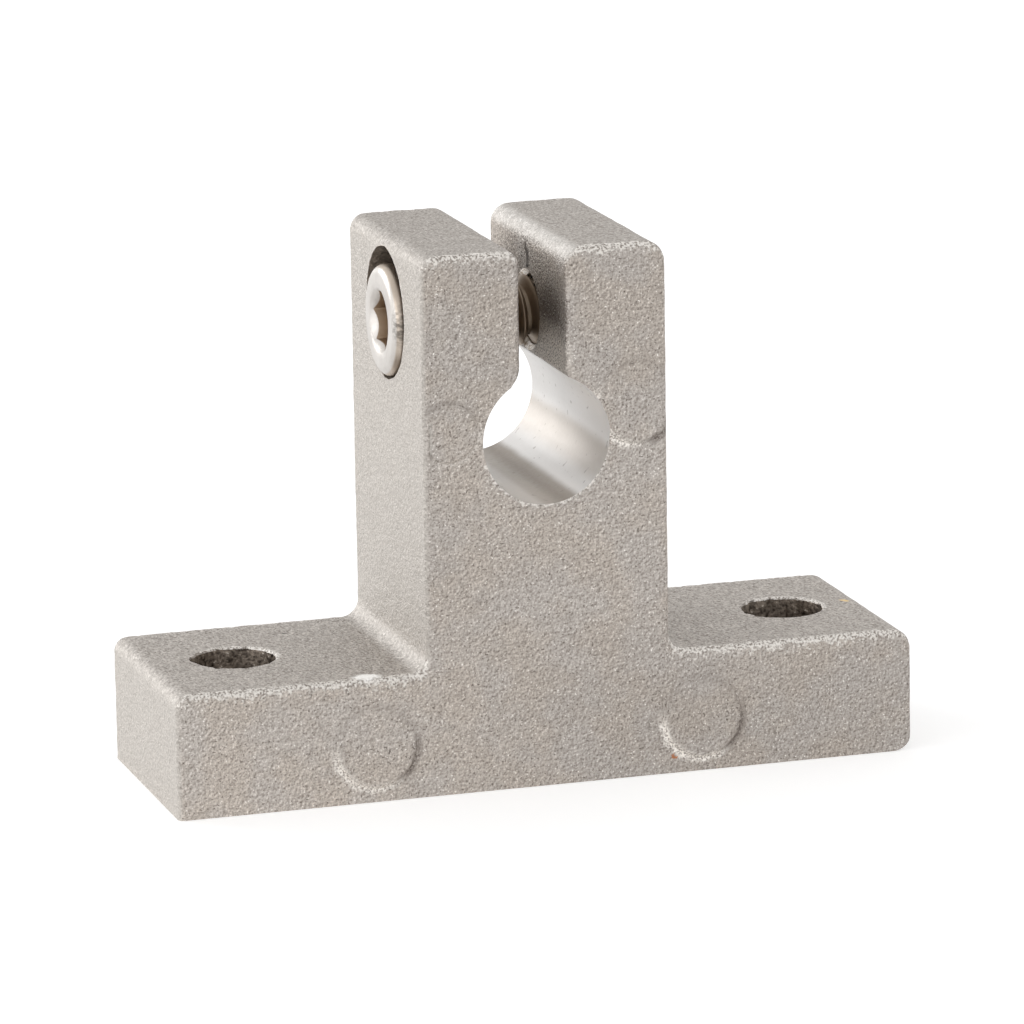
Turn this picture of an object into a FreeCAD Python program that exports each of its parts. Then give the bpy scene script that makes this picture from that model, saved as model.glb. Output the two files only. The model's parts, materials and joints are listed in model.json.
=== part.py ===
"""Shaft support block: a small T-shaped casting that grips the end of a round shaft.

Lengths are millimetres and angles are degrees. X runs along the base, with the clamp screw's
head on the -X side. Y runs along the shaft, with the front face at -Y. Z is up. The origin is
at the middle of the base's underside.

Two separate pieces: the casting, and the socket head screw that draws its two ears together.
"""
import FreeCAD, Part
import math
import os

V = FreeCAD.Vector

# Base: the bar that bolts down
base_length = 38.1
base_thickness = 6.3
block_depth = 12.7

# Base holes: two plain round holes with a softened upper rim
base_hole_pitch = 28.8
base_hole_diameter = 4.1
base_hole_rim = 0.12

# Shaft bore
shaft_diameter = 6.35
bore_clearance = 0.15
centre_height = 17.55

# Column, and the slot that splits it into two ears
column_width = 12.55
slot_width = 2.32
slot_shift = -0.08

# Clamp screw: inch number 6 socket head cap screw
thread_diameter = 3.5
thread_pitch = 0.794
head_diameter = 5.6
head_height = 3.5
head_rim_round = 0.5
head_foot_chamfer = 0.12
socket_width = 2.6
socket_depth = 1.75
socket_mouth = 0.13
socket_turn = 18
drill_point = 118
turns_in_thread = 4.75
tip_chamfer = 0.4

# Seats of the clamp screw in the ears
thread_clearance = 0.04
tapped_mouth_chamfer = 0.26
clearance_hole_diameter = 3.9
head_stands_proud = 0.33
counterbore_diameter = 6.6
head_side_gap = 0.1
web_above_bore = 0.18
metal_above_counterbore = 0.58

# Corners of the casting's outline, which differ a little from one to the next
root_fillet = 0.9
base_left_corner = 0.75
base_right_corner = 1.05
base_lower_right_corner = 0.95
ear_left_corner = 0.8
ear_right_corner = 1.1
slot_left_corner = 0.7
slot_right_corner = 1.0
slot_left_foot = 1.7
slot_right_foot = 0.3
edge_round = 0.3
milling_allowance = 0.5

# Ejector pin pads: low discs on the front face that run out flush with it at one side
pad_diameter = 4.15
pad_small_diameter = 3.05
pad_height = 0.18
pad_flank = 0.22
pad_run_out = 0.8
base_pad_margin = 0.65
base_pad_left = -8.95
base_pad_right = 7.95
bore_pad_left = (-4.98, 0.68)
bore_pad_right = (4.68, 1.46)

# Side of a pad that stands highest: 0 is straight down, and negative is towards +X
pad_low_side = 0
pad_slanted_side = -50

# Derived places
half_length = base_length / 2
half_depth = block_depth / 2
half_column = column_width / 2
slot_left = slot_shift - slot_width / 2
slot_right = slot_shift + slot_width / 2
bore_radius = (shaft_diameter + bore_clearance) / 2
tapped_radius = thread_diameter / 2 + thread_clearance
screw_height = centre_height + bore_radius + web_above_bore + tapped_radius
counterbore_above_screw = (counterbore_diameter - head_diameter) / 2 - head_side_gap
counterbore_height = screw_height + counterbore_above_screw
counterbore_depth = head_height - head_stands_proud
overall_height = counterbore_height + counterbore_diameter / 2 + metal_above_counterbore
head_seat_x = -half_column + counterbore_depth
thread_engagement = turns_in_thread * thread_pitch
screw_length = slot_right - head_seat_x + thread_engagement

# How far a cutting tool runs past the metal it cuts, and the tolerance for picking edges
overrun = 1.0
same_place = 1e-4


def rounded_outline(corners):
    """Closed wire through corners (x, z, radius) in the XZ plane, each rounded to its radius."""
    points = [V(x, 0, z) for x, z, radius in corners]
    pieces = []
    last_end = None
    first_start = None
    for index, point in enumerate(points):
        radius = corners[index][2]
        to_last = (points[index - 1] - point).normalize()
        to_next = (points[(index + 1) % len(points)] - point).normalize()
        half_angle = to_last.getAngle(to_next) / 2
        reach = radius / math.tan(half_angle)
        start = point + to_last * reach
        end = point + to_next * reach
        if last_end is not None:
            pieces.append(Part.LineSegment(last_end, start).toShape())
        else:
            first_start = start
        if radius > 0:
            to_centre = (to_last + to_next).normalize()
            nearest = point + to_centre * (radius / math.sin(half_angle) - radius)
            pieces.append(Part.Arc(start, nearest, end).toShape())
        last_end = end
    pieces.append(Part.LineSegment(last_end, first_start).toShape())
    return Part.Wire(pieces)


def along_depth(wire, depth):
    """Solid of the outline's face, with the given depth along Y and centred on the XZ plane."""
    solid = Part.Face(wire).extrude(V(0, depth, 0))
    solid.translate(V(0, -depth / 2, 0))
    return solid


def block_between(low, high):
    """Rectangular block between two corners."""
    size = high - low
    return Part.makeBox(size.x, size.y, size.z, low)


def cast_outline():
    """Upside-down T with a slot down into the bore, and a milling allowance under the base."""
    base_top = base_thickness
    top = overall_height
    corners = [
        (-half_length, -milling_allowance, 0),
        (-half_length, base_top, base_left_corner),
        (-half_column, base_top, root_fillet),
        (-half_column, top, ear_left_corner),
        (slot_left, top, slot_left_corner),
        (slot_left, centre_height, 0),
        (slot_right, centre_height, 0),
        (slot_right, top, slot_right_corner),
        (half_column, top, ear_right_corner),
        (half_column, base_top, root_fillet),
        (half_length, base_top, base_right_corner),
        (half_length, -milling_allowance, 0),
    ]
    return rounded_outline(corners)


def end_face_edges(solid):
    """Edges round the front and back faces, apart from the underside and the slot's floor."""
    chosen = []
    for edge in solid.Edges:
        middle = edge.CenterOfMass
        on_end = abs(abs(middle.y) - half_depth) < same_place
        on_floor = min(abs(middle.z - centre_height), abs(middle.z + milling_allowance)) < same_place
        level = abs(edge.Vertexes[0].Z - edge.Vertexes[-1].Z) < same_place
        if on_end and not (on_floor and level):
            chosen.append(edge)
    return chosen


def raw_casting():
    """T-shaped body with soft edges, before any machining."""
    body = along_depth(cast_outline(), block_depth)
    return body.makeFillet(edge_round, end_face_edges(body))


def ejector_pad(x, z, diameter, high_side):
    """Low disc on the front face that stands highest at its high_side."""
    radius = diameter / 2
    flank_slope = pad_flank / pad_height
    inner_radius = radius + overrun * flank_slope
    outer_radius = radius - 2 * pad_height * flank_slope
    disc = Part.makeCone(
        inner_radius, outer_radius, overrun + 2 * pad_height, V(0, overrun, 0), V(0, -1, 0)
    )
    reach = radius * (1 + pad_run_out)
    lean = math.degrees(math.atan2(pad_height, reach))
    behind = block_between(V(-diameter, 0, -diameter), V(diameter, 2 * overrun, diameter))
    behind.translate(V(0, 0, -radius * pad_run_out))
    behind.rotate(V(0, 0, 0), V(1, 0, 0), -lean)
    behind.translate(V(0, 0, radius * pad_run_out))
    disc = disc.common(behind)
    disc.rotate(V(0, 0, 0), V(0, 1, 0), high_side)
    disc.translate(V(x, -half_depth, z))
    return disc


def flat_front_region():
    """Space just before and behind the flat part of the front face, clear of its soft edges."""
    column_flat = half_column - edge_round
    base_flat = base_thickness - edge_round
    front = -half_depth - overrun
    back = -half_depth + overrun
    column = block_between(V(-column_flat, front, 0), V(column_flat, back, overall_height - edge_round))
    base = block_between(
        V(-half_length + edge_round, front, 0), V(half_length - edge_round, back, base_flat)
    )
    return column.fuse(base)


def bore_pad(place, diameter, high_side):
    """Ejector pad beside the bore, at a place measured from the bore's centre."""
    return ejector_pad(place[0], centre_height + place[1], diameter, high_side)


def ejector_pads():
    """Four pads: one on each arm of the base and one on each side of the bore."""
    base_pad_height = base_pad_margin + pad_diameter / 2
    pads = [
        ejector_pad(base_pad_left, base_pad_height, pad_diameter, pad_low_side),
        ejector_pad(base_pad_right, base_pad_height, pad_diameter, pad_low_side),
        bore_pad(bore_pad_left, pad_small_diameter, pad_slanted_side),
        bore_pad(bore_pad_right, pad_diameter, pad_low_side),
    ]
    return flat_front_region().common(Part.makeCompound(pads))


def milled_underside():
    """Everything below the base's flat underside."""
    return block_between(
        V(-half_length - overrun, -half_depth - overrun, -milling_allowance - overrun),
        V(half_length + overrun, half_depth + overrun, 0),
    )


def lower_right_corner_cut():
    """Metal outside the round at the base's lower right corner."""
    radius = base_lower_right_corner
    centre = V(half_length - radius, 0, radius)
    diagonal = radius * math.sqrt(0.5)
    arc = Part.Arc(centre + V(radius, 0, 0), centre + V(diagonal, 0, -diagonal), centre + V(0, 0, -radius))
    outside = V(half_length + overrun, 0, radius)
    outer_corner = V(half_length + overrun, 0, -overrun)
    below = V(half_length - radius, 0, -overrun)
    sides = [
        arc.toShape(),
        Part.LineSegment(centre + V(0, 0, -radius), below).toShape(),
        Part.LineSegment(below, outer_corner).toShape(),
        Part.LineSegment(outer_corner, outside).toShape(),
        Part.LineSegment(outside, centre + V(radius, 0, 0)).toShape(),
    ]
    return along_depth(Part.Wire(sides), block_depth + 2 * overrun)


def shaft_bore():
    """The bore, right through from front to back."""
    return Part.makeCylinder(
        bore_radius, block_depth + 2 * overrun, V(0, -half_depth - overrun, centre_height), V(0, 1, 0)
    )


def slot_foot(wall_x, radius):
    """Metal outside the round where a slot wall at wall_x runs out into the bore."""
    side = math.copysign(1, wall_x)
    across = abs(wall_x) + radius
    rise = math.sqrt((bore_radius + radius) ** 2 - across**2)
    middle = V(side * across, 0, centre_height + rise)
    to_bore = V(-side * across, 0, -rise).normalize()
    nearest = (to_bore + V(-side, 0, 0)).normalize()
    on_wall = V(wall_x, 0, middle.z)
    on_bore = middle + to_bore * radius
    sides = [
        Part.Arc(on_wall, middle + nearest * radius, on_bore).toShape(),
        Part.LineSegment(on_bore, V(0, 0, on_bore.z)).toShape(),
        Part.LineSegment(V(0, 0, on_bore.z), V(0, 0, on_wall.z)).toShape(),
        Part.LineSegment(V(0, 0, on_wall.z), on_wall).toShape(),
    ]
    return along_depth(Part.Wire(sides), block_depth + 2 * overrun)


def base_hole(x):
    """One base hole, flared to a soft rim at the top."""
    radius = base_hole_diameter / 2
    top = base_thickness
    rim = base_hole_rim
    lean = rim * (1 - math.sqrt(0.5))
    points = [
        V(0, 0, -overrun),
        V(radius, 0, -overrun),
        V(radius, 0, top - rim),
        V(radius + rim, 0, top),
        V(radius + rim, 0, top + overrun),
        V(0, 0, top + overrun),
    ]
    sides = [
        Part.LineSegment(points[0], points[1]).toShape(),
        Part.LineSegment(points[1], points[2]).toShape(),
        Part.Arc(points[2], V(radius + lean, 0, top - lean), points[3]).toShape(),
        Part.LineSegment(points[3], points[4]).toShape(),
        Part.LineSegment(points[4], points[5]).toShape(),
        Part.LineSegment(points[5], points[0]).toShape(),
    ]
    tool = Part.Face(Part.Wire(sides)).revolve(V(0, 0, 0), V(0, 0, 1), 360)
    tool.translate(V(x, 0, 0))
    return tool


def tapped_hole():
    """Tapped hole right through the right ear, with a chamfer at both mouths."""
    wide = tapped_radius + tapped_mouth_chamfer
    hole = Part.makeCylinder(tapped_radius, half_column + overrun, V(0, 0, screw_height), V(1, 0, 0))
    mouths = []
    for face, into_metal in ((slot_right, 1), (half_column, -1)):
        start = V(face, 0, screw_height)
        mouths.append(Part.makeCone(wide, 0, wide, start, V(into_metal, 0, 0)))
    return hole.fuse(mouths)


def screw_seats():
    """Counterbore and clearance hole in the left ear, and the tapped hole in the right ear."""
    left_face = -half_column
    counterbore = Part.makeCylinder(
        counterbore_diameter / 2,
        counterbore_depth + overrun,
        V(left_face - overrun, 0, counterbore_height),
        V(1, 0, 0),
    )
    clearance_hole = Part.makeCylinder(
        clearance_hole_diameter / 2, half_column, V(left_face, 0, screw_height), V(1, 0, 0)
    )
    return [counterbore, clearance_hole, tapped_hole()]


def support_block():
    """The casting, with its pads, after the underside is milled and the holes are made."""
    block = raw_casting().fuse(ejector_pads())
    tools = [milled_underside(), lower_right_corner_cut(), shaft_bore()]
    tools += [slot_foot(slot_left, slot_left_foot), slot_foot(slot_right, slot_right_foot)]
    tools += [base_hole(side * base_hole_pitch / 2) for side in (-1, 1)]
    tools += screw_seats()
    for tool in tools:
        block = block.cut(tool)
    return block.removeSplitter()


def screw_body():
    """Head and shank turned about the X axis, with the head's seat at X = 0."""
    head_radius = head_diameter / 2
    shank_radius = thread_diameter / 2
    rim = head_rim_round
    rim_lean = rim * (1 - math.sqrt(0.5))
    end_face = -head_height
    points = [
        V(end_face, 0, 0),
        V(end_face, 0, head_radius - rim),
        V(end_face + rim, 0, head_radius),
        V(-head_foot_chamfer, 0, head_radius),
        V(0, 0, head_radius - head_foot_chamfer),
        V(0, 0, shank_radius),
        V(screw_length - tip_chamfer, 0, shank_radius),
        V(screw_length, 0, shank_radius - tip_chamfer),
        V(screw_length, 0, 0),
    ]
    rim_middle = V(end_face + rim_lean, 0, head_radius - rim_lean)
    sides = [Part.LineSegment(points[0], points[1]).toShape()]
    sides.append(Part.Arc(points[1], rim_middle, points[2]).toShape())
    for first, second in zip(points[2:], points[3:]):
        sides.append(Part.LineSegment(first, second).toShape())
    sides.append(Part.LineSegment(points[-1], points[0]).toShape())
    return Part.Face(Part.Wire(sides)).revolve(V(0, 0, 0), V(1, 0, 0), 360)


def hexagon_socket():
    """Hexagonal socket with a drilled point at its floor and a chamfer round its mouth."""
    end_face = -head_height
    corner_radius = socket_width / math.sqrt(3)
    corners = []
    for step in range(7):
        angle = math.radians(60 * step + socket_turn)
        corners.append(V(end_face - overrun, corner_radius * math.sin(angle), corner_radius * math.cos(angle)))
    prism = Part.Face(Part.makePolygon(corners)).extrude(V(socket_depth + overrun, 0, 0))
    point_depth = socket_width / 2 / math.tan(math.radians(drill_point / 2))
    point = Part.makeCone(
        socket_width / 2, 0, point_depth, V(end_face + socket_depth, 0, 0), V(1, 0, 0)
    )
    mouth_radius = corner_radius + socket_mouth
    mouth = Part.makeCone(mouth_radius, 0, mouth_radius, V(end_face, 0, 0), V(1, 0, 0))
    return prism.fuse([point, mouth])


def clamp_screw():
    """Socket head cap screw, seated on the floor of the counterbore."""
    screw = screw_body().cut(hexagon_socket())
    screw.translate(V(head_seat_x, 0, screw_height))
    return screw


os.makedirs("parts", exist_ok=True)
parts = {"support_block": support_block(), "clamp_screw": clamp_screw()}
for name, shape in parts.items():
    shape.exportStep("parts/" + name + ".step")
    print(name, "solids", len(shape.Solids), "valid", shape.isValid(), "volume", round(shape.Volume, 2))
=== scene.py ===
"""Looks of the shaft support block: blasted cast skin, machined bore, threaded clamp screw.

Lengths are metres in the CAD's frame: X along the base, Y along the bore with the front at -Y,
Z up. The casting and the screw each get a finer mesh that stays inside its CAD solid.
"""
import json
import math

import bmesh
import bpy
from mathutils import Matrix, Vector, noise
from mathutils.geometry import delaunay_2d_cdt
import numpy as np


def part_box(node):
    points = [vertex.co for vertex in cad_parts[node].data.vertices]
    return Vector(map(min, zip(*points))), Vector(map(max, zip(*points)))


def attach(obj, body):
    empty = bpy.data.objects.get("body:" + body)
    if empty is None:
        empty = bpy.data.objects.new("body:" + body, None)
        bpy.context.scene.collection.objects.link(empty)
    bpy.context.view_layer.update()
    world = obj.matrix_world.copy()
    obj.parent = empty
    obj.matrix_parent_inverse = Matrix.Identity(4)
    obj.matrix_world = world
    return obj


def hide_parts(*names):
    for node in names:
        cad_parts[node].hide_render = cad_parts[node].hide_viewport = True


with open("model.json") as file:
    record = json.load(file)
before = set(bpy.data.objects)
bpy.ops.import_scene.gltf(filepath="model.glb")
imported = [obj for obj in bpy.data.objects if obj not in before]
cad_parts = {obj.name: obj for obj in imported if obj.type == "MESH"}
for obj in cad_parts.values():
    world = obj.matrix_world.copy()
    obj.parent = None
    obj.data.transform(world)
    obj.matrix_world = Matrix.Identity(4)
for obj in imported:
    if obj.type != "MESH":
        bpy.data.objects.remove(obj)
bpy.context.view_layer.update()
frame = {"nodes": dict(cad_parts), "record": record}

MM = 0.001

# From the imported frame
mounts = {mount["name"]: mount for mount in frame["record"]["mounts"]}
joint = frame["record"]["behaviour"]["joints"][0]
half_length, half_depth, block_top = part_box("support_block")[1]
head_end_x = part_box("clamp_screw")[0][0]
tip_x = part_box("clamp_screw")[1][0]
bore_z = mounts["shaft_bore"]["pos_m"][2]
bore_radius = mounts["shaft_bore"]["dims"]["r_mm"] * MM
hole_x = mounts["base_holes"]["dims"]["spacing_x_mm"] * MM / 2
hole_radius = mounts["base_holes"]["dims"]["hole_r_mm"] * MM
screw_z = joint["pos_m"][2]

# Casting, as the CAD has it
half_column = 6.275 * MM
slot_left = -1.24 * MM
slot_right = 1.08 * MM
base_top = 6.3 * MM
hole_rim = 0.11 * MM
counterbore_z = screw_z + 0.4 * MM
counterbore_radius = 3.3 * MM
counterbore_depth = 3.17 * MM
seat_x = counterbore_depth - half_column
clearance_radius = 1.95 * MM
tapped_radius = 1.79 * MM
tapped_chamfer = 0.27 * MM

# Kinds of surface on the casting, in the order of its material slots
SKIN, BORE, MILLED, HOLE_WALL, THREAD = range(5)

# Mesh of the cast skin
skin_spacing = 0.236 * MM
longest_skin_edge = 1.25 * skin_spacing
longest_wall_edge = 1.0 * MM
smallest_plane = 0.25 * MM * MM
flat_angle = math.radians(0.4)
crease_angle = math.radians(34)
merge_gap = 0.0002 * MM
hair = 0.01 * MM
mean_skin_depth = 0.014 * MM
hole_rim_reach = 1.5 * MM
hole_rim_shift = 0.30 * MM
counterbore_rim_reach = 0.4 * MM
counterbore_rim_shift = 0.09 * MM

# Clamp screw
thread_pitch = 0.794 * MM
thread_crest = 1.742 * MM
thread_root = 1.27 * MM
crest_end_phase = 0.0625
root_start_phase = 0.375
neck_radius = 1.5 * MM
thread_start_x = seat_x + 0.4 * MM
tip_chamfer = 0.4 * MM
crest_x = 0.41 * MM
crest_angle = math.radians(270)
socket_width = 2.6 * MM
socket_depth = 1.75 * MM
socket_turn = math.radians(18)
drill_half_angle = math.radians(59)
mouth_radius = socket_width / math.sqrt(3) + 0.13 * MM
head_radius = 2.795 * MM
rim_round = 0.5 * MM
foot_chamfer = 0.12 * MM
knurl = 0.09 * MM
knurl_count = 56
screw_columns = 192
rows_per_turn = 14
point_radius = 0.001 * MM

# Tapped hole's thread, beyond the screw's tip
tapped_steps_per_turn = 48
tapped_gap_to_tip = 0.28 * MM
tapped_gap_to_face = 0.12 * MM
tapped_thread_height = 0.34 * MM
tapped_thread_root = 0.05 * MM

# Ejector pads: X and Z of the middle and radius in millimetres, strength of the rim, and the
# ways in X and Z to its lit and its dark side
ejector_pads = (
    (-8.95, 2.725, 2.075, 1.0, (-0.45, -0.89), (0.82, -0.57)),
    (7.95, 2.725, 2.075, 1.0, (-0.5, -0.87), (0.84, -0.54)),
    (4.68, 19.01, 2.075, 1.0, (-0.75, -0.65), (0.5, -0.85)),
    (-4.98, 18.23, 1.525, 0.4, (0.6, -0.8), (-0.3, 0.95)),
)

# Marks: middle and reach in millimetres, blur of the border, strength and tone
# On the slot's right wall: the upper patch is darker, and the lower pale patch is painted light
# reflected from the bore.
slot_wall_patches = (
    ((1.08, -3.8, 23.4), (0.4, 2.0, 1.0), 0.5, 0.75, (0.16, 0.135, 0.12)),
    ((1.08, -3.7, 21.4), (0.4, 2.6, 1.3), 0.4, 0.75, (0.84, 0.79, 0.73)),
)
parting_line = (
    ((1.08, 0.16, 25.95), (0.4, 0.18, 0.30), 0.4, 0.85, (0.09, 0.072, 0.06)),
    ((1.08, -0.10, 25.5), (0.4, 0.24, 0.36), 0.4, 0.9, (0.07, 0.055, 0.045)),
)
# A dark spot painted as the shade in a pit.
pit_shade = ((1.08, -0.05, 25.0), (0.3, 0.20, 0.14), 0.3, 1.0, (0.03, 0.025, 0.02))
bright_nick = ((-9.25, -5.85, 6.30), (0.70, 0.40, 0.22), 0.3, 0.95, (0.98, 0.97, 0.95))
dark_scratch = ((-10.84, 3.87, 6.3), (0.20, 0.11, 0.25), 0.3, 0.9, (0.10, 0.09, 0.08))
yellow_speck = ((17.9, 0.27, 6.3), (0.18, 0.26, 0.2), 0.3, 0.9, (0.80, 0.62, 0.34))
orange_speck = ((6.41, -6.35, 0.86), (0.10, 0.2, 0.13), 0.3, 0.8, (0.50, 0.19, 0.07))

# Bore's painted reflection bands: degrees from straight down, towards +X, and tone
bore_reflection_bands = (
    (-160, 0.60), (-25, 0.53), (-8, 0.49), (3, 0.37), (16, 0.275), (23, 0.32), (32, 0.67),
    (41, 0.62), (56, 0.48), (66, 0.455), (75, 0.44), (86, 0.61), (112, 0.66),
)


# Materials
class Graph:
    """A new node material. Each call adds nodes to it and returns their output."""

    def __init__(self, name):
        self.material = bpy.data.materials.new(name)
        self.material.use_nodes = True
        self.nodes = self.material.node_tree.nodes
        self.links = self.material.node_tree.links
        self.shader = self.nodes["Principled BSDF"]
        self.place = self.nodes.new("ShaderNodeTexCoord").outputs["Object"]

    def put(self, socket, value):
        """Feeds a socket with another node's output, or with a plain value."""
        if isinstance(value, bpy.types.NodeSocket):
            self.links.new(value, socket)
        else:
            socket.default_value = value

    def noise(self, scale, detail=2.0, place=None, output="Fac"):
        node = self.nodes.new("ShaderNodeTexNoise")
        self.put(node.inputs["Vector"], place or self.place)
        node.inputs["Scale"].default_value = scale
        node.inputs["Detail"].default_value = detail
        return node.outputs[output]

    def math(self, operation, first, second=0.0):
        node = self.nodes.new("ShaderNodeMath")
        node.operation = operation
        self.put(node.inputs[0], first)
        self.put(node.inputs[1], second)
        return node.outputs[0]

    def plus(self, first, second):
        return self.math("ADD", first, second)

    def times(self, first, second):
        return self.math("MULTIPLY", first, second)

    def swing(self, value, amount):
        """How far a value lies from one half, times an amount."""
        return self.times(self.math("SUBTRACT", value, 0.5), amount)

    def spread(self, value, low, high, new_low=0.0, new_high=1.0):
        """Maps low..high to new_low..new_high, clamped and smooth."""
        node = self.nodes.new("ShaderNodeMapRange")
        node.interpolation_type = "SMOOTHSTEP"
        self.put(node.inputs["Value"], value)
        node.inputs["From Min"].default_value = low
        node.inputs["From Max"].default_value = high
        node.inputs["To Min"].default_value = new_low
        node.inputs["To Max"].default_value = new_high
        return node.outputs["Result"]

    def level(self, value, low, high):
        """Share of the way from low to high, clamped."""
        node = self.nodes.new("ShaderNodeMapRange")
        self.put(node.inputs["Value"], value)
        node.inputs["From Min"].default_value = low
        node.inputs["From Max"].default_value = high
        return node.outputs["Result"]

    def mix(self, factor, first, second):
        node = self.nodes.new("ShaderNodeMix")
        node.data_type = "RGBA"
        self.put(node.inputs["Factor"], factor)
        for socket, value in ((node.inputs[6], first), (node.inputs[7], second)):
            self.put(socket, value if isinstance(value, bpy.types.NodeSocket) else (*value, 1.0))
        return node.outputs[2]

    def vector(self, operation, first, second=(0.0, 0.0, 0.0)):
        node = self.nodes.new("ShaderNodeVectorMath")
        node.operation = operation
        self.put(node.inputs[0], first)
        self.put(node.inputs[1], second)
        return node.outputs["Value" if operation in ("LENGTH", "DOT_PRODUCT") else "Vector"]

    def brighter(self, colour, factor):
        """The colour times a factor."""
        node = self.nodes.new("ShaderNodeVectorMath")
        node.operation = "SCALE"
        self.put(node.inputs[0], colour)
        self.put(node.inputs["Scale"], factor)
        return node.outputs["Vector"]

    def scaled(self, factors):
        """The object's own coordinates, stretched along each axis."""
        return self.vector("MULTIPLY", self.place, factors)

    def spot(self, middle, reach, blur, place=None):
        """1 inside an ellipsoid about a place in millimetres, and 0 outside it."""
        away = self.vector("SUBTRACT", place or self.place, tuple(MM * value for value in middle))
        away = self.vector("DIVIDE", away, tuple(MM * value for value in reach))
        return self.level(self.vector("LENGTH", away), 1 + blur, 1 - blur)

    def axis(self, index):
        """One of the object's own coordinates."""
        node = self.nodes.new("ShaderNodeSeparateXYZ")
        self.put(node.inputs[0], self.place)
        return node.outputs[index]

    def attribute(self, name):
        node = self.nodes.new("ShaderNodeAttribute")
        node.attribute_name = name
        return node.outputs["Fac"]

    def metal(self, colour, roughness, height, depth):
        """Feeds the shader as bare metal with a relief of some depth, and returns the material."""
        relief = self.nodes.new("ShaderNodeBump")
        relief.inputs["Strength"].default_value = 1.0
        relief.inputs["Distance"].default_value = depth
        self.put(relief.inputs["Height"], height)
        self.put(self.shader.inputs["Base Color"], colour)
        self.put(self.shader.inputs["Metallic"], 1.0)
        self.put(self.shader.inputs["Roughness"], roughness)
        self.put(self.shader.inputs["Normal"], relief.outputs["Normal"])
        return self.material


def marked(g, colour, place, marks):
    """The colour with ellipsoid marks on it."""
    for middle, reach, blur, strength, tone in marks:
        mask = g.spot(middle, reach, blur, place)
        colour = g.mix(g.times(mask, strength), colour, tone)
    return colour


def pad_rims(g, colour, fine, mid):
    """The colour with the ejector pads' rims shown only in paint: painted shade faint all round and
    strong on one side, and a painted highlight on the other.
    """
    wobble = g.swing(mid, 0.20)
    lit = 0.0
    shaded = 0.0
    for x, z, radius, strength, lit_side, dark_side in ejector_pads:
        away = g.vector("SUBTRACT", g.place, (x * MM, 0, z * MM))
        away = g.vector("MULTIPLY", away, (1 / radius / MM, 0, 1 / radius / MM))
        from_rim = g.math("SUBTRACT", g.plus(g.vector("LENGTH", away), wobble), 1.0)
        rim = g.times(g.level(g.math("ABSOLUTE", from_rim), 0.15, 0.03), strength)
        to_lit = g.vector("DOT_PRODUCT", away, (lit_side[0], 0, lit_side[1]))
        to_dark = g.vector("DOT_PRODUCT", away, (dark_side[0], 0, dark_side[1]))
        dark_share = g.math("MAXIMUM", g.level(to_dark, 0.55, 0.95), 0.22)
        lit = g.math("MAXIMUM", lit, g.times(rim, g.level(to_lit, 0.25, 0.65)))
        shaded = g.math("MAXIMUM", shaded, g.times(rim, dark_share))
    on_front = g.level(g.axis(1), 0.35 * MM - half_depth, 0.20 * MM - half_depth)
    # Painted shade, then a painted highlight, broken up by the fine grain, on the front only.
    for part, least, tone in ((shaded, 0.15, (0.20, 0.17, 0.15)), (lit, 0.1, (0.90, 0.86, 0.81))):
        speckled = g.times(g.times(part, on_front), g.spread(fine, 0.35, 0.58, least, 1.0))
        colour = g.mix(speckled, colour, tone)
    return colour


def painted_light_falloff(g, tone):
    """The front's tone with painted light falloff: a little paler at the base's left, darker at its
    right and on the ears.
    """
    on_base = g.level(g.axis(2), 9.0 * MM, 4.0 * MM)
    on_ears = g.level(g.axis(2), 17.0 * MM, 21.0 * MM)
    light_falloff = g.times(on_base, g.spread(g.axis(0), -14.0 * MM, 8.0 * MM, 0.08, -0.09))
    light_falloff = g.math("SUBTRACT", light_falloff, g.times(on_ears, 0.045))
    return g.brighter(tone, g.plus(light_falloff, 1.0))


def painted_top_shade(g, relief):
    """Tone of the tops with painted shade: darker than the front and the ears a little darker still,
    grain drawn out a little along the bore, with the painted emboss of the grain.
    """
    on_ears = g.level(g.axis(2), 24.0 * MM, 25.0 * MM)
    pale = g.mix(on_ears, (0.615, 0.575, 0.535), (0.555, 0.520, 0.485))
    grain = g.noise(9000, detail=1.5, place=g.scaled((1.0, 0.6, 1.0)))
    share = g.level(g.plus(grain, g.times(relief, 0.9)), 0.24, 0.80)
    return g.mix(share, (0.300, 0.272, 0.246), pale)


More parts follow.
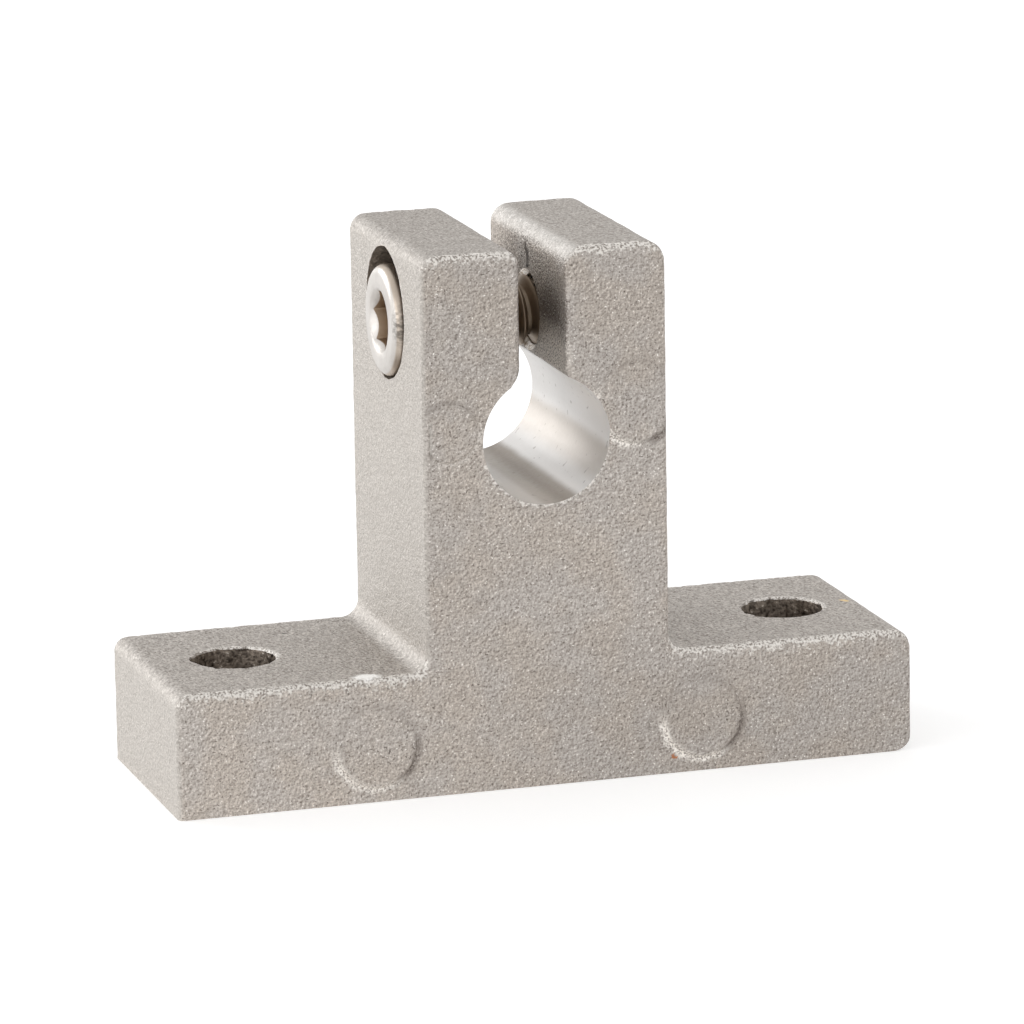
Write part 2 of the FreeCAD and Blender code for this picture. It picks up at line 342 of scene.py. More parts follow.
def skin_tones(g, fine):
    """Tones of the plain skin: front and back with a painted emboss of the grain, painted lit
    left-hand faces, painted shade on the tops, painted glints, painted shade in pits and painted
    highlights on the rounds.
    """
    left = g.attribute("left")
    # Painted highlight and shade on the grain: the noise less the same noise moved a little towards
    # +X, +Y and -Z, an emboss lit from the upper left.
    shifted = g.vector("ADD", g.place, (0.045 * MM, 0.02 * MM, -0.045 * MM))
    relief = g.math("SUBTRACT", g.noise(6200, detail=1.0), g.noise(6200, detail=1.0, place=shifted))
    broad = g.noise(420, detail=3.0)
    grain = g.plus(g.plus(g.times(relief, 1.15), fine), g.swing(broad, 0.12))
    share = g.level(grain, 0.02, 0.98)
    pale = g.mix(g.spread(broad, 0.35, 0.65), (0.735, 0.670, 0.608), (0.705, 0.662, 0.625))
    front_tone = painted_light_falloff(g, g.mix(share, (0.288, 0.254, 0.225), pale))
    # Left-hand faces: a painted lit copy of the skin, with paler darks and flatter grain.
    lit_left_tone = g.mix(share, (0.400, 0.374, 0.346), (0.615, 0.580, 0.540))
    colour = g.mix(left, front_tone, lit_left_tone)
    colour = g.mix(g.attribute("top"), colour, painted_top_shade(g, relief))
    # Painted glints: near-white specks of the fine grain, left off the left-hand faces.
    painted_glints = g.times(g.spread(fine, 0.69, 0.76), g.math("SUBTRACT", 1.0, left))
    colour = g.mix(painted_glints, colour, (0.93, 0.90, 0.86))
    # Painted shade in pits: dark specks, weaker on the left-hand faces where the light falls.
    pit_shade_specks = g.times(g.spread(g.noise(7400, detail=0.0), 0.30, 0.22), 0.7)
    pit_shade_specks = g.times(pit_shade_specks, g.math("SUBTRACT", 1.0, g.times(left, 0.7)))
    colour = g.mix(pit_shade_specks, colour, (0.15, 0.125, 0.105))
    # Painted highlight on the rounds that face up and to the left.
    round_highlight_tone = g.mix(share, (0.440, 0.418, 0.392), (0.790, 0.762, 0.730))
    return g.mix(g.times(g.attribute("round_highlight"), 0.9), colour, round_highlight_tone)


def crumbled_edges(g, colour, mid):
    """The colour with pale and dark crumbs where the edges are rubbed; on the base holes' far rims the
    pale crumbs are partly a painted highlight.
    """
    edge = g.attribute("edge")
    rubbed = g.spread(g.plus(edge, g.swing(mid, 1.6)), 0.35, 0.75)
    rubbed = g.times(rubbed, g.math("GREATER_THAN", edge, 0.02))
    crumbs = g.spread(g.noise(8600, detail=1.0), 0.30, 0.60)
    crumb_tone = g.mix(crumbs, (0.30, 0.265, 0.235), (0.86, 0.83, 0.79))
    return g.mix(g.times(rubbed, 0.85), colour, crumb_tone)


def slot_wall(g, colour, fine, ragged):
    """The colour with the slot's right wall darker above and a painted reflection of light below, and
    its dark and bright specks.
    """
    colour = marked(g, colour, ragged, slot_wall_patches)
    wall = g.spot((slot_right / MM, 0.0, 22.6), (0.35, 6.5, 4.0), 0.15)
    colour = g.mix(g.times(wall, g.spread(fine, 0.46, 0.34)), colour, (0.10, 0.082, 0.07))
    return g.mix(g.times(wall, g.spread(fine, 0.62, 0.72)), colour, (0.95, 0.92, 0.87))


def cast_skin():
    """Blasted casting: fine matt grain, crumbly bright edges and the marks of its handling, with
    painted light and shade on the grain, the faces, the rounds, the pads, the slot wall and a pit.
    """
    g = Graph("cast_skin")
    fine = g.noise(11000, detail=1.0)
    mid = g.noise(4200, detail=1.0)
    wander = g.vector("SUBTRACT", g.noise(4200, detail=1.0, output="Color"), (0.5, 0.5, 0.5))
    ragged = g.vector("ADD", g.place, g.vector("MULTIPLY", wander, (0.45 * MM,) * 3))
    colour = pad_rims(g, skin_tones(g, fine), fine, mid)
    colour = crumbled_edges(g, colour, mid)
    colour = slot_wall(g, colour, fine, ragged)
    wear_and_pit_shade = (*parting_line, pit_shade, bright_nick, dark_scratch, yellow_speck, orange_speck)
    colour = marked(g, colour, ragged, wear_and_pit_shade)
    height = g.plus(fine, g.times(mid, 1.4))
    return g.metal(colour, g.spread(mid, 0.3, 0.7, 0.58, 0.70), height, 0.05 * MM)


def machined_bore():
    """Reamed bore: bright and smooth, with painted reflections in soft bands along its axis, brighter
    towards the front.
    """
    g = Graph("machined_bore")
    fine = g.noise(5200, detail=1.0)
    turn = g.math("ARCTAN2", g.axis(0), g.math("SUBTRACT", bore_z, g.axis(2)))
    turn = g.plus(turn, g.swing(g.noise(260, detail=2.0), 0.10))
    reflection_bands = g.nodes.new("ShaderNodeValToRGB")
    g.put(reflection_bands.inputs["Fac"], g.level(turn, -math.pi, math.pi))
    reflection_bands.color_ramp.interpolation = "EASE"
    stops = reflection_bands.color_ramp.elements
    stops_at_start = len(stops)
    for number, (degrees, tone) in enumerate(bore_reflection_bands):
        share = degrees / 360 + 0.5
        stop = stops[number] if number < stops_at_start else stops.new(share)
        stop.position = share
        warmth = max(0.30 * (0.6 - tone), 0.0)
        stop.color = (tone, tone * (0.975 - warmth), tone * (0.95 - 2 * warmth), 1.0)
    to_front = g.level(g.axis(1), 1.0 * MM, -5.0 * MM)
    colour = g.brighter(reflection_bands.outputs["Color"], g.plus(g.times(to_front, 0.30), 1.07))
    specks = g.spread(g.noise(3600, detail=0.0), 0.77, 0.82)
    colour = g.mix(g.times(specks, 0.45), colour, (0.25, 0.22, 0.19))
    return g.metal(colour, g.spread(fine, 0.3, 0.7, 0.44, 0.50), fine, 0.0012 * MM)


def milled_face():
    """Fly-cut underside: fine parallel arcs about a place beside the block."""
    g = Graph("milled_face")
    arcs = g.nodes.new("ShaderNodeTexWave")
    arcs.wave_type = "RINGS"
    arcs.rings_direction = "SPHERICAL"
    arcs.inputs["Scale"].default_value = 900
    arcs.inputs["Distortion"].default_value = 1.5
    arcs.inputs["Detail"].default_value = 2
    g.put(arcs.inputs["Vector"], g.vector("ADD", g.place, (0.0, 30 * MM, 0.0)))
    cut = arcs.outputs["Fac"]
    colour = g.mix(cut, (0.60, 0.57, 0.53), (0.70, 0.67, 0.63))
    return g.metal(colour, g.spread(cut, 0, 1, 0.30, 0.42), cut, 0.002 * MM)


def hole_wall():
    """Rough dark wall of the cored holes, a little paler in the screw's counterbore."""
    g = Graph("hole_wall")
    grain = g.noise(5200, detail=2.0)
    blotch = g.noise(900, detail=2.0)
    share = g.level(g.plus(grain, g.times(blotch, 0.4)), 0.45, 1.0)
    colour = g.mix(share, (0.085, 0.068, 0.055), (0.48, 0.41, 0.345))
    colour = g.mix(g.spread(grain, 0.68, 0.74), colour, (0.80, 0.76, 0.70))
    in_ear = g.level(g.axis(2), 15 * MM, 16 * MM)
    colour = g.mix(g.times(in_ear, 0.5), colour, (0.62, 0.56, 0.50))
    return g.metal(colour, g.spread(grain, 0.3, 0.7, 0.45, 0.65), grain, 0.05 * MM)


def cut_thread():
    """Bright cut metal of the tapped hole and its chamfered mouths."""
    g = Graph("cut_thread")
    grain = g.noise(6000, detail=2.0)
    colour = g.mix(g.level(grain, 0.38, 0.6), (0.36, 0.29, 0.22), (0.92, 0.88, 0.83))
    return g.metal(colour, g.spread(grain, 0.3, 0.7, 0.28, 0.42), grain, 0.02 * MM)


def screw_steel():
    """Plated steel: satin turned end face, brown socket, thread and head side, knurled side with a
    patch of painted shade.
    """
    g = Graph("screw_steel")
    turned = g.noise(5200, detail=2.0, place=g.scaled((0.4, 1.0, 1.0)))
    broad = g.spread(g.noise(600, detail=2.0), 0.3, 0.7)
    steel = g.mix(broad, (0.55, 0.52, 0.488), (0.63, 0.60, 0.568))
    in_socket = g.mix(broad, (0.42, 0.325, 0.235), (0.50, 0.395, 0.295))
    on_thread = g.mix(broad, (0.25, 0.195, 0.145), (0.35, 0.285, 0.22))
    socket_and_thread_brown = g.mix(g.level(g.axis(0), -4.0 * MM, -3.2 * MM), in_socket, on_thread)
    colour = g.mix(g.attribute("brown"), steel, socket_and_thread_brown)
    # A patch of painted shade on the knurled side, facing the counterbore's wall.
    painted_knurl_shade = g.spot((-6.2, -2.75, 23.0), (0.5, 0.5, 0.95), 0.4)
    painted_knurl_shade = g.times(painted_knurl_shade, g.level(turned, 0.35, 0.6))
    colour = g.mix(g.times(painted_knurl_shade, 0.8), colour, (0.13, 0.115, 0.10))
    return g.metal(colour, g.spread(turned, 0.3, 0.7, 0.36, 0.46), turned, 0.002 * MM)


# Casting
def ramp(value, low, high):
    """0 at low and 1 at high, straight between them."""
    return min(max((value - low) / (high - low), 0.0), 1.0)


def from_bore_axis(point):
    return math.hypot(point.x, point.z - bore_z)


def from_screw_axis(point):
    return math.hypot(point.y, point.z - screw_z)


def from_base_hole(point):
    """Way from the nearer base hole's axis to a point, across the hole."""
    return Vector((point.x - math.copysign(hole_x, point.x), point.y, 0))


def is_machined(point):
    """True on the bore, the hole walls, the screw's seats and the underside."""
    if point.z < hair:
        return True
    if from_bore_axis(point) < bore_radius + 2 * hair:
        return True
    if point.z < base_top - hole_rim and from_base_hole(point).length < hole_radius + 2 * hair:
        return True
    if point.x > slot_right - hair:
        return from_screw_axis(point) < tapped_radius + tapped_chamfer
    if point.x < seat_x + hair:
        return math.hypot(point.y, point.z - counterbore_z) < counterbore_radius + 2 * hair
    return from_screw_axis(point) < clearance_radius + 2 * hair


def surface_kind(face):
    """Kind of surface that a face of the casting lies on."""
    middle = face.calc_center_median()
    if not is_machined(middle):
        return SKIN
    if face.normal.z < -0.99 and middle.z < hair:
        return MILLED
    if from_bore_axis(middle) < bore_radius + 2 * hair:
        return BORE
    return THREAD if middle.x > slot_right - hair and middle.z > base_top else HOLE_WALL


def open_planes(bm):
    """Deletes the large flat faces and returns each plane as (normal, middle, kind).

    Two layers keep, for each edge that is left, the numbers of the planes that it borders.
    """
    first = bm.edges.layers.int.new("first_plane")
    second = bm.edges.layers.int.new("second_plane")
    planes = []
    spent = []
    inner_edges = set()
    left = set(bm.faces)
    for seed in bm.faces:
        if seed not in left:
            continue
        left.discard(seed)
        group = [seed]
        for face in group:
            for other in (near for edge in face.edges for near in edge.link_faces):
                if other in left and other.normal.angle(seed.normal, 9.0) < flat_angle:
                    left.discard(other)
                    group.append(other)
        widest = max(group, key=lambda face: face.calc_area())
        kind = surface_kind(widest)
        if kind not in (SKIN, MILLED) or sum(face.calc_area() for face in group) < smallest_plane:
            continue
        planes.append((widest.normal.copy(), widest.calc_center_median(), kind))
        members = set(group)
        for face in group:
            for edge in face.edges:
                if members.issuperset(edge.link_faces):
                    inner_edges.add(edge)
                else:
                    edge[second if edge[first] else first] = len(planes)
        spent += group
    bmesh.ops.delete(bm, geom=spent, context="FACES_ONLY")
    bmesh.ops.delete(bm, geom=list(inner_edges), context="EDGES")
    return planes


def split_long_edges(bm):
    """Bisects triangles at their long edges until each edge suits the skin or a machined wall."""
    while True:
        long_edges = []
        for edge in bm.edges:
            walls = len(edge.link_faces) == 2 and all(is_machined(vertex.co) for vertex in edge.verts)
            length = edge.calc_length()
            if length > (longest_wall_edge if walls else longest_skin_edge):
                long_edges.append((length, edge))
        if not long_edges:
            return
        for _, edge in sorted(long_edges, key=lambda pair: -pair[0]):
            ends = set(edge.verts)
            beside = [(face, next(v for v in face.verts if v not in ends)) for face in edge.link_faces]
            middle = bmesh.utils.edge_split(edge, edge.verts[0], 0.5)[1]
            for face, opposite in beside:
                bmesh.utils.face_split(face, middle, opposite)


def inside_loops(points, starts, ends):
    """True for each 2-D point that lies inside the closed loops made by the segments."""
    batch = 2000
    inside = np.zeros(len(points), bool)
    rise = ends[:, 1] - starts[:, 1]
    rise[rise == 0] = 1e-12
    slope = (ends[:, 0] - starts[:, 0]) / rise
    for low in range(0, len(points), batch):
        x = points[low : low + batch, :1]
        y = points[low : low + batch, 1:]
        spans = (starts[:, 1] > y) != (ends[:, 1] > y)
        hits = spans & (x < slope * (y - starts[:, 1]) + starts[:, 0])
        inside[low : low + batch] = hits.sum(axis=1) % 2 == 1
    return inside


def grid_inside(border, starts, ends, spacing, random):
    """Jittered triangular grid of points inside the loops and clear of the border."""
    batch = 1000
    jitter = 0.18 * spacing
    clearance = 0.55 * spacing
    low = border.min(axis=0)
    high = border.max(axis=0)
    row_step = spacing * math.sqrt(3) / 2
    columns, rows = np.meshgrid(
        np.arange(low[0], high[0] + spacing, spacing), np.arange(low[1], high[1] + row_step, row_step)
    )
    columns[1::2] += spacing / 2
    points = np.stack([columns.ravel(), rows.ravel()], axis=1)
    points += random.uniform(-jitter, jitter, points.shape)
    points = points[inside_loops(points, starts, ends)]
    clear = np.ones(len(points), bool)
    for low_row in range(0, len(points), batch):
        part = points[low_row : low_row + batch, None, :]
        gap = np.minimum(
            np.linalg.norm(part - border[None], axis=2).min(axis=1),
            np.linalg.norm(part - (starts + ends)[None] / 2, axis=2).min(axis=1),
        )
        clear[low_row : low_row + batch] = gap > clearance
    return points[clear]


def borders_of(bm):
    """The edges round each opened plane, by the plane's number."""
    first = bm.edges.layers.int["first_plane"]
    second = bm.edges.layers.int["second_plane"]
    borders = {}
    for edge in bm.edges:
        for number in {edge[first], edge[second]}:
            borders.setdefault(number, []).append(edge)
    return borders


def fill_plane(bm, edges, plane, random):
    """Fills one plane's border with even triangles, finely where the skin is cast.

    The plane's own coordinates are millimetres.
    """
    same_point = 1e-7
    least_area = 2e-6
    normal, origin, kind = plane
    vertices = list(dict.fromkeys(vertex for edge in edges for vertex in edge.verts))
    order = {vertex: index for index, vertex in enumerate(vertices)}
    right = normal.orthogonal().normalized()
    up = normal.cross(right)
    flat = np.array([((v.co - origin).dot(right), (v.co - origin).dot(up)) for v in vertices]) / MM
    segments = [(order[edge.verts[0]], order[edge.verts[1]]) for edge in edges]
    ends = np.array(segments)
    starts, stops = flat[ends[:, 0]], flat[ends[:, 1]]
    points = [Vector(point) for point in flat]
    if kind == SKIN:
        inner = grid_inside(flat, starts, stops, skin_spacing / MM, random)
        points += [Vector(point) for point in inner]
        for x, y in inner * MM:
            vertices.append(bm.verts.new(origin + right * x + up * y))
    places, _, triangles, sources, _, _ = delaunay_2d_cdt(points, segments, [], 0, same_point)
    shapes = np.array([places[index][:] for face in triangles for index in face]).reshape(-1, 3, 2)
    sides = shapes[:, 1:] - shapes[:, :1]
    wide = np.abs(sides[:, 0, 0] * sides[:, 1, 1] - sides[:, 0, 1] * sides[:, 1, 0]) > least_area
    for face, kept in zip(triangles, wide & inside_loops(shapes.mean(axis=1), starts, stops)):
        corners = [vertices[sources[index][0]] for index in face]
        if kept and bm.faces.get(corners) is None:
            bm.faces.new(corners)


def outline_gap(x, z):
    """Distance from a point of the front view to the casting's outline, bore left out."""
    gaps = [half_length - abs(x), math.hypot(max(half_column - abs(x), 0), base_top - z)]
    gaps.append(math.hypot(half_column - abs(x), max(base_top - z, 0)))
    if z > bore_z:
        gaps += [abs(block_top - z), abs(x - slot_right), abs(x - slot_left)]
    return min(gaps)


def skin_depth(point, edge):
    """How far the blasted skin lies under the CAD surface: more where an edge has crumbled."""
    place = point / MM
    fine = 0.014 * noise.noise(place * 2.6)
    lumps = 0.014 * noise.noise(place * 1.1 + Vector((7, 3, 5)))
    waves = 0.010 * noise.noise(place * 0.28 + Vector((1, 9, 4)))
    crumbled = 0.07 * edge * max(noise.noise(place * 3.3 + Vector((2, 8, 6))), 0.0)
    return max(0.0, mean_skin_depth + MM * (fine + lumps + waves + crumbled))


def hole_rim_wear_and_highlight(point):
    """1 on the rim of a base hole, wider and stronger on its side towards +X and +Y: rubbed wear, and
    on that far side, which faces the light, a painted highlight too.
    """
    away = from_base_hole(point)
    lit_far_side = ramp(away.x + away.y, -0.5 * MM, 2.4 * MM)
    from_rim = away.length - hole_radius
    return ramp(from_rim, (0.22 + 0.2 * lit_far_side) * MM, 0.10 * MM) * (0.35 + 0.65 * lit_far_side)


def rubbed_edge(point, normal):
    """1 on the upper edges, the bore's lower rim and the base holes' rims, fading to 0 beside; on the
    holes' far rims it is partly a painted highlight.
    """
    gap = (half_depth - abs(point.y)) + abs(outline_gap(point.x, point.z))
    mask = ramp(gap, 0.42 * MM, 0.22 * MM) * ramp(normal.z, 0.05, 0.35)
    if abs(normal.y) > 0.5:
        over = block_top if abs(point.x) < half_column else base_top
        mask = max(mask, 0.6 * ramp(over - point.z, 0.85 * MM, 0.30 * MM))
    if abs(point.y) > half_depth - 0.1 * MM:
        beside_bore = ramp(from_bore_axis(point) - bore_radius, 0.3 * MM, 0.05 * MM)
        lower_half = ramp(point.z - bore_z, 1.0 * MM, -1.5 * MM)
        mask = max(mask, 0.75 * beside_bore * lower_half)
    if point.z > base_top - 0.3 * MM and abs(point.x) > half_column + 1 * MM:
        mask = max(mask, hole_rim_wear_and_highlight(point))
    return mask


def painted_round_highlight(point, normal):
    """Painted highlight: 1 on the rounds between the left-hand faces and the tops, which face the
    light, most on the root and the slot.
    """
    tilt = ramp(max(-normal.x, 0.0) * max(normal.z, 0.0), 0.08, 0.45)
    at_root = point.z < base_top + 1.2 * MM and point.x > -half_column - 1.2 * MM
    at_slot = abs(point.x - slot_right) < 1.2 * MM
    return tilt * (1.0 if at_slot else 0.45 if at_root else 0.3)


def ragged_rim(point):
    """Outward shift of the upper wall of a base hole or of the counterbore's mouth, else None."""
    if point.z > bore_z:
        away = Vector((0, point.y, point.z - counterbore_z))
        radius, depth = counterbore_radius, point.x + half_column
        reach, amount = counterbore_rim_reach, counterbore_rim_shift
    else:
        away = from_base_hole(point)
        radius, depth = hole_radius, base_top - point.z
        reach, amount = hole_rim_reach, hole_rim_shift
    if abs(away.length - radius) > 0.2 * MM or depth > reach:
        return None
    amount *= ramp(depth, reach, 0.3 * reach)
    return away.normalized() * amount * max(noise.noise(point / MM * 2.6 + Vector((4, 1, 7))), 0.0)


def refined_casting():
    """The CAD casting's mesh with even triangles on its skin and a true round in its bore."""
    bm = bmesh.new()
    bm.from_mesh(frame["nodes"]["support_block"].data)
    bmesh.ops.remove_doubles(bm, verts=bm.verts, dist=merge_gap)
    bm.normal_update()
    random = np.random.default_rng(11)
    planes = open_planes(bm)
    split_long_edges(bm)
    borders = borders_of(bm)
    for number, plane in enumerate(planes, start=1):
        fill_plane(bm, borders[number], plane, random)
    bm.normal_update()
    for vertex in bm.verts:
        radial = Vector((vertex.co.x, 0, vertex.co.z - bore_z))
        if abs(radial.length - bore_radius) < 2 * hair:
            vertex.co += radial.normalized() * (bore_radius - radial.length)
    return bm


def blast(bm):
    """Writes the masks that the skin's material reads, and sinks the skin by its relief."""
    masks = [bm.verts.layers.float.new(name) for name in ("edge", "top", "left", "round_highlight")]
    moves = []
    for vertex in bm.verts:
        edge = rubbed_edge(vertex.co, vertex.normal)
        top = ramp(vertex.normal.z, 0.1, 0.9)
        left = ramp(-vertex.normal.x, 0.2, 0.8) if vertex.co.x < slot_left else 0.0
        round_highlight = painted_round_highlight(vertex.co, vertex.normal)
        for mask, value in zip(masks, (edge, top, left, round_highlight)):
            vertex[mask] = value
        shift = ragged_rim(vertex.co)
        if shift is not None:
            moves.append((vertex, shift))
        elif not is_machined(vertex.co):
            moves.append((vertex, vertex.normal * -skin_depth(vertex.co, edge)))
    for vertex, move in moves:
        vertex.co += move


def cast_block():
    """The casting's own mesh: the CAD solid's form with an even, blasted skin."""
    materials = (cast_skin(), machined_bore(), milled_face(), hole_wall(), cut_thread())
    bm = refined_casting()
    shade_smooth(bm)
    for face in bm.faces:
        face.material_index = surface_kind(face)
    blast(bm)
    piece = make_piece("cast_block", bm, materials, "block")
    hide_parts("support_block")


# Clamp screw
def join_rows(bm, rows):
    """Quads between neighbouring rows of vertices."""
    for upper, lower in zip(rows, rows[1:]):
        for index in range(len(upper) - 1):
            bm.faces.new([upper[index], upper[index + 1], lower[index + 1], lower[index]])


def about_screw(x, radius, angle):
    """Place round the screw's axis, at an angle from straight up towards +Y."""
    return (x, radius * math.sin(angle), screw_z + radius * math.cos(angle))


def ring(bm, along, radius_at, angles):
    """Row of vertices round the screw's axis; along and radius may depend on the angle."""
    row = []
    for angle in angles:
        x = along(angle) if callable(along) else along
        radius = radius_at(angle) if callable(radius_at) else radius_at
        row.append(bm.verts.new(about_screw(x, radius, angle)))
    return row


def hexagon_radius(angle):
    """Radius of the socket's wall at an angle."""
    sixth = math.pi / 3
    from_flat = (angle - socket_turn) % sixth - sixth / 2
    return socket_width / 2 / math.cos(from_flat)


def mouth_x(radius):
    """Place along the screw of the socket's 45 degree mouth, at a radius."""
    return head_end_x + mouth_radius - radius


def knurl_depth(angle):
    """Depth of the knurl's grooves: 0 on a ridge and 1 in a groove."""
    wave = (angle / (2 * math.pi) * knurl_count) % 1.0
    return 1.0 - abs(2 * wave - 1) ** 1.6


def thread_radius(phase):
    """Radius of the 60 degree thread at a phase, 0 to 1, with its crest about 0."""
    away = abs((phase + 0.5) % 1.0 - 0.5)
    share = ramp(away, crest_end_phase, root_start_phase)
    return thread_crest - share * (thread_crest - thread_root)


def socket_rows(bm, angles):
    """Drilled point, hexagon wall and chamfered mouth of the socket."""
    floor_x = head_end_x + socket_depth
    point_x = floor_x + socket_width / 2 / math.tan(drill_half_angle)

    def wall_top(angle):
        return mouth_x(hexagon_radius(angle))

    return [
        ring(bm, point_x, point_radius, angles),
        ring(bm, floor_x, socket_width / 2 * 0.96, angles),
        ring(bm, floor_x, hexagon_radius, angles),
        ring(bm, lambda angle: wall_top(angle) + 0.03 * MM, hexagon_radius, angles),
        ring(bm, wall_top, lambda angle: hexagon_radius(angle) + 0.008 * MM, angles),
        ring(bm, head_end_x + 0.012 * MM, mouth_radius - 0.012 * MM, angles),
        ring(bm, head_end_x, mouth_radius + 0.008 * MM, angles),
    ]


def head_rows(bm, angles):
    """End face, rounded rim, knurled side, seat and neck of the head."""
    flat = head_radius - rim_round
    rows = [ring(bm, head_end_x, (mouth_radius + flat) / 2, angles)]
    for step in range(10):
        turn = math.radians(10 * step)
        x = head_end_x + rim_round * (1 - math.cos(turn))
        rows.append(ring(bm, x, flat + rim_round * math.sin(turn), angles))
    for share in (0.04, 0.1, 0.3, 0.5, 0.7, 0.9, 0.96):
        fade = min(share, 1 - share, 0.1) / 0.1
        x = head_end_x + rim_round + share * (seat_x - foot_chamfer - head_end_x - rim_round)
        rows.append(ring(bm, x, lambda angle: head_radius - fade * knurl * knurl_depth(angle), angles))
    rows.append(ring(bm, seat_x - foot_chamfer, head_radius, angles))
    rows.append(ring(bm, seat_x, head_radius - foot_chamfer, angles))
    rows.append(ring(bm, seat_x, thread_crest + 0.25 * MM, angles))
    for radius, x in ((0.12, 0.0), (0.05, 0.02), (0.0, 0.12), (0.0, 0.3)):
        rows.append(ring(bm, seat_x + x * MM, neck_radius + radius * MM, angles))
    return rows


def thread_rows(bm, angles):
    """Rows that follow the thread's helix from its start to the tip, each closed by a plain ring."""
    rows = []
    turns = (tip_x - thread_start_x) / thread_pitch + 2
    for number in range(-rows_per_turn, int(turns * rows_per_turn)):
        row = []
        for angle in angles:
            x = thread_start_x + (number / rows_per_turn + helix_share(angle)) * thread_pitch
            if x <= thread_start_x:
                place = about_screw(thread_start_x, neck_radius, angle)
            elif x >= tip_x:
                place = about_screw(tip_x, thread_crest - tip_chamfer, angle)
            else:
                place = about_screw(x, screw_thread_radius(x, angle), angle)
            row.append(bm.verts.new(place))
        rows.append(row)
    return rows


def helix_share(angle):
    """Share of a pitch by which a right-hand thread has moved along +X at an angle."""
    return -angle / (2 * math.pi)


def screw_thread_radius(x, angle):
    """Radius of the screw's thread: shallow where it starts, and cut off by the tip's chamfer."""
    phase = (x - crest_x) / thread_pitch - helix_share(angle) + helix_share(crest_angle)
    start = ramp(x, thread_start_x, thread_start_x + thread_pitch)
    radius = neck_radius + (thread_radius(phase) - neck_radius) * start
    return min(radius, thread_crest - tip_chamfer + tip_x - x)


def clamp_screw():
    """Socket head cap screw as one closed skin, with a real helical thread."""
    bm = bmesh.new()
    angles = [2 * math.pi * index / screw_columns for index in range(screw_columns + 1)]
    rows = socket_rows(bm, angles) + head_rows(bm, angles) + thread_rows(bm, angles)
    rows += [ring(bm, tip_x, radius, angles) for radius in (0.7 * MM, point_radius)]
    join_rows(bm, rows)
    finish_turned(bm)
    brown = bm.verts.layers.float.new("brown")
    for vertex in bm.verts:
        from_axis = from_screw_axis(vertex.co)
        in_socket = from_axis < 1.55 * MM and vertex.co.x > mouth_x(from_axis) + 0.02 * MM
        on_side = from_axis > head_radius - 0.3 * MM and vertex.co.x > head_end_x + 0.15 * MM
        if in_socket or vertex.co.x > seat_x - hair:
            vertex[brown] = 1.0
        elif on_side:
            vertex[brown] = 0.6
    piece = make_piece("clamp_screw_looks", bm, [screw_steel()], "screw")
    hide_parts("clamp_screw")


def tapped_thread():
    """The tapped hole's own thread, where it shows beyond the screw's tip."""
    bm = bmesh.new()
    first_x = tip_x + tapped_gap_to_tip
    last_x = half_column - tapped_gap_to_face
    steps = int((last_x - first_x) / thread_pitch * tapped_steps_per_turn)
    foot = tapped_radius + tapped_thread_root
    rows = []
    for step in range(steps + 1):
        angle = -2 * math.pi * step / tapped_steps_per_turn
        x = first_x + thread_pitch * step / tapped_steps_per_turn
        crest = tapped_radius - tapped_thread_height * min(step / 6, (steps - step) / 10, 1.0)
        profile = ((-0.24, foot), (-0.05, crest), (0.05, crest), (0.24, foot))
        row = [bm.verts.new(about_screw(x + shift * MM, radius, angle)) for shift, radius in profile]
        rows.append(row + row[:1])
    join_rows(bm, rows)
    for row, order in ((rows[0], 1), (rows[-1], -1)):
        bm.faces.new(row[:4][::order])
    bmesh.ops.recalc_face_normals(bm, faces=bm.faces)
    make_piece("tapped_hole_thread", bm, [cut_thread()], "block")


def finish_turned(bm):
    """Closes the seams, drops collapsed faces and turns every face outward."""
    bmesh.ops.remove_doubles(bm, verts=bm.verts, dist=0.004 * MM)
    bmesh.ops.dissolve_degenerate(bm, edges=bm.edges, dist=0.002 * MM)
    bmesh.ops.recalc_face_normals(bm, faces=bm.faces)
    shade_smooth(bm)


def shade_smooth(bm):
    """Smooth shading with creases at the sharp edges."""
    for edge in bm.edges:
        edge.smooth = len(edge.link_faces) == 2 and edge.calc_face_angle(0.0) < crease_angle
    for face in bm.faces:
        face.smooth = True


def make_piece(name, bm, materials, body):
    """Object from a finished mesh, riding on a body of the frame."""
    mesh = bpy.data.meshes.new(name)
    bm.to_mesh(mesh)
    print(name, "faces", len(bm.faces), "open edges", sum(not e.is_manifold for e in bm.edges))
    bm.free()
    for material in materials:
        mesh.materials.append(material)
    piece = bpy.data.objects.new(name, mesh)
    bpy.context.scene.collection.objects.link(piece)
    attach(piece, body)
    return piece


# Studio and camera
def white_floor():
    """Pale floor that shows almost white but still takes a soft shadow."""
    reach = 3.0
    corners = [(-reach, -reach, 0), (reach, -reach, 0), (reach, reach, 0), (-reach, reach, 0)]
    mesh = bpy.data.meshes.new("floor")
    mesh.from_pydata(corners, [], [(0, 1, 2, 3)])
    piece = bpy.data.objects.new("floor", mesh)
    piece.location.z = -0.02 * MM
    bpy.context.scene.collection.objects.link(piece)
    g = Graph("floor_paper")
    path = g.nodes.new("ShaderNodeLightPath").outputs
    shown = g.math("MAXIMUM", path["Is Camera Ray"], path["Is Glossy Ray"])
    g.put(g.shader.inputs["Base Color"], g.mix(g.noise(4.0), (0.80, 0.80, 0.80), (0.82, 0.82, 0.82)))
    g.put(g.shader.inputs["Roughness"], 0.9)
    g.put(g.shader.inputs["Emission Color"], (1, 1, 1, 1))
    g.put(g.shader.inputs["Emission Strength"], g.times(shown, 0.45))
    mesh.materials.append(g.material)


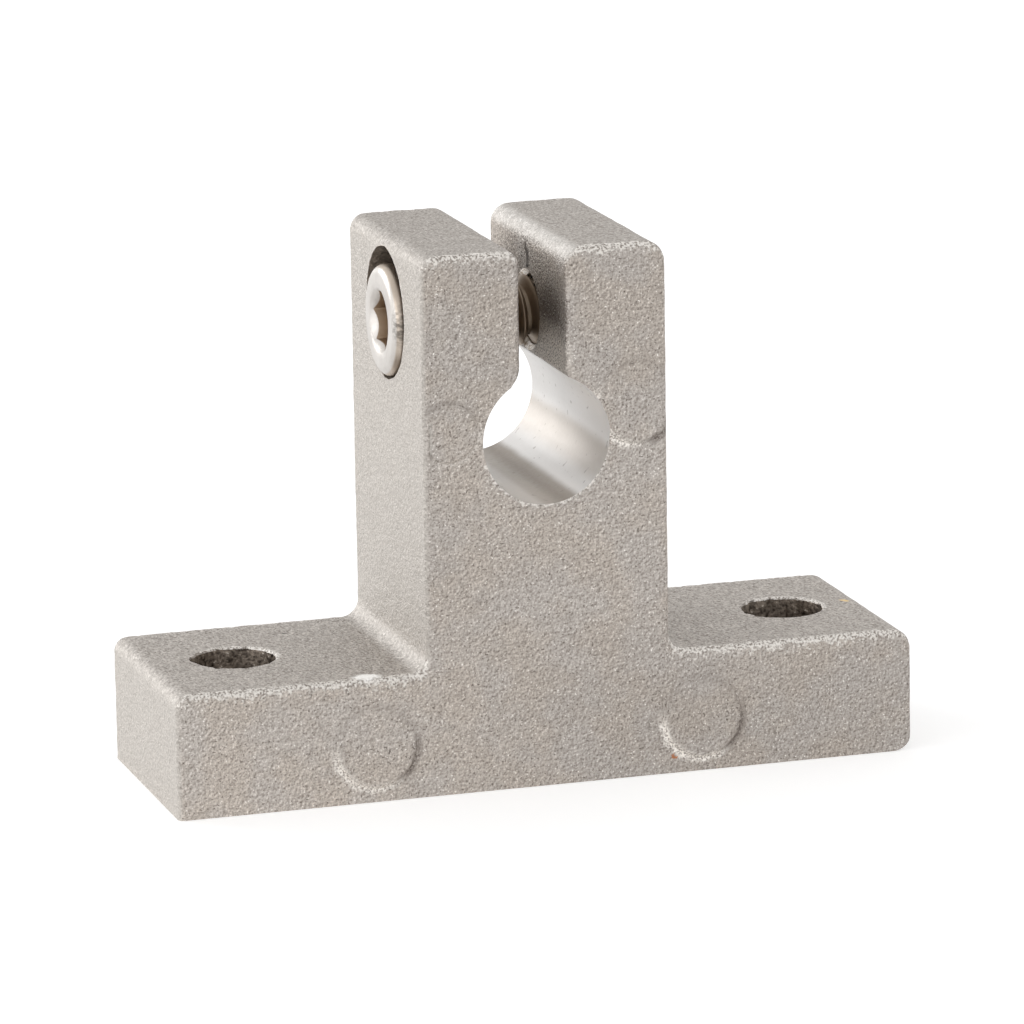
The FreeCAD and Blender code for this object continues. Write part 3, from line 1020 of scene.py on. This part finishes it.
def white_surroundings():
    """White world, a little dimmer as a light than it looks to the camera and in reflections."""
    world = bpy.data.worlds.new("studio")
    world.use_nodes = True
    bpy.context.scene.world = world
    nodes = world.node_tree.nodes
    links = world.node_tree.links
    path = nodes.new("ShaderNodeLightPath")
    seen = path.outputs["Is Camera Ray"]
    for name in ("Is Glossy Ray", "Is Transmission Ray"):
        either = nodes.new("ShaderNodeMath")
        either.operation = "MAXIMUM"
        links.new(seen, either.inputs[0])
        links.new(path.outputs[name], either.inputs[1])
        seen = either.outputs[0]
    brightness = nodes.new("ShaderNodeMapRange")
    brightness.inputs["To Min"].default_value = 0.7
    brightness.inputs["To Max"].default_value = 1.0
    links.new(seen, brightness.inputs["Value"])
    links.new(brightness.outputs["Result"], nodes["Background"].inputs["Strength"])
    nodes["Background"].inputs["Color"].default_value = (1, 1, 1, 1)


def softboxes():
    """Two very soft suns from the left, one from behind and one a little from the front."""
    for name, energy, width, towards in (
        ("back_left_softbox", 0.85, 30, (0.62, -0.72, -0.27)),
        ("front_left_softbox", 0.7, 50, (0.90, 0.30, -0.16)),
    ):
        lamp = bpy.data.lights.new(name, "SUN")
        lamp.energy = energy
        lamp.angle = math.radians(width)
        sun = bpy.data.objects.new(name, lamp)
        sun.rotation_euler = Vector(towards).to_track_quat("-Z", "Y").to_euler()
        bpy.context.scene.collection.objects.link(sun)


def camera():
    """Long lens from the front left, a little above, at the photograph's angle."""
    azimuth = math.radians(-17.069)
    elevation = math.radians(13.313)
    roll = math.radians(-0.898)
    distance = 340.22 * MM
    focal_pixels = 6802.7
    photo_pixels = 1024
    slide_right = 0.118 * MM
    slide_up = -0.201 * MM
    aim = Vector((0, 0, 12.7 * MM))
    across = math.cos(elevation)
    back = Vector((math.sin(azimuth) * across, -math.cos(azimuth) * across, math.sin(elevation)))
    level = (-back).cross(Vector((0, 0, 1))).normalized()
    upright = level.cross(-back)
    right = math.cos(roll) * level + math.sin(roll) * upright
    up = -math.sin(roll) * level + math.cos(roll) * upright
    data = bpy.data.cameras.new("camera")
    data.sensor_width = 36
    data.lens = data.sensor_width * focal_pixels / photo_pixels
    data.clip_start = 0.01
    data.clip_end = 20
    eye = bpy.data.objects.new("camera", data)
    place = aim + back * distance + level * slide_right + upright * slide_up
    turn = Matrix((right, up, back)).transposed().to_4x4()
    eye.matrix_world = Matrix.Translation(place) @ turn
    bpy.context.scene.collection.objects.link(eye)
    bpy.context.scene.camera = eye


cast_block()
clamp_screw()
tapped_thread()
white_floor()
white_surroundings()
softboxes()
camera()
bpy.context.scene.view_settings.view_transform = "Standard"
